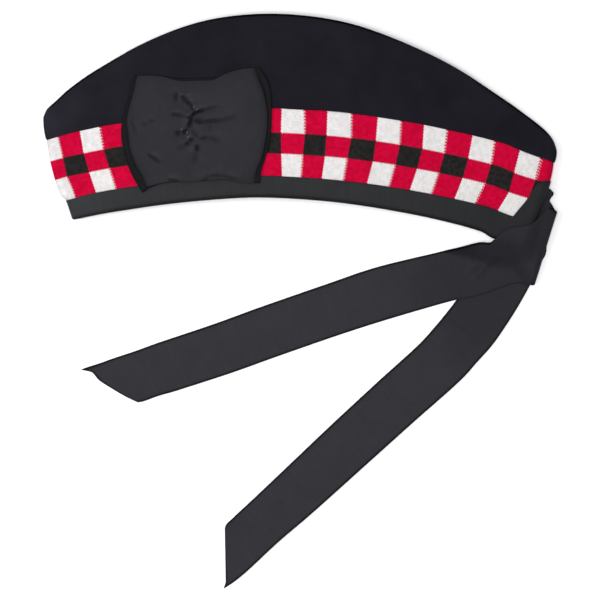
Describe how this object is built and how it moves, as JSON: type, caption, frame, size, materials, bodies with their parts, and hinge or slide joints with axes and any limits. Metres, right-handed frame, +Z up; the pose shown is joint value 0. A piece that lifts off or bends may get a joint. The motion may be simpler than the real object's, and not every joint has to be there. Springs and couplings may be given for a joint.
{
  "type": "glengarry",
  "caption": "Folded wool cap with a creased crown, a diced knitted band, ribbon binding, a gathered cockade and two loose ribbon tails",
  "frame": {"origin": "middle of the whole object's box, at the surface that the folded cap and its tails lie on", "axes": "+X from the front fold to the back fold, +Y from the rim to the ridge, +Z up, away from the surface"},
  "size_m": [0.3, 0.3336, 0.032],
  "materials": {
    "crown_wool": "matte milled wool",
    "diced_knit": "matte knitted wool in white, red and black squares",
    "binding_ribbon": "ribbed ribbon with a low sheen",
    "cockade_ribbon": "gathered ribbon with a soft sheen",
    "tail_ribbon": "flat ribbon with a low sheen"
  },
  "bodies": {
    "root": {"crown": "crown_wool", "diced_band": "diced_knit", "edge_binding": "binding_ribbon", "cockade": "cockade_ribbon", "tail_upper": "tail_ribbon", "tail_lower": "tail_ribbon"}
  },
  "joints": []
}
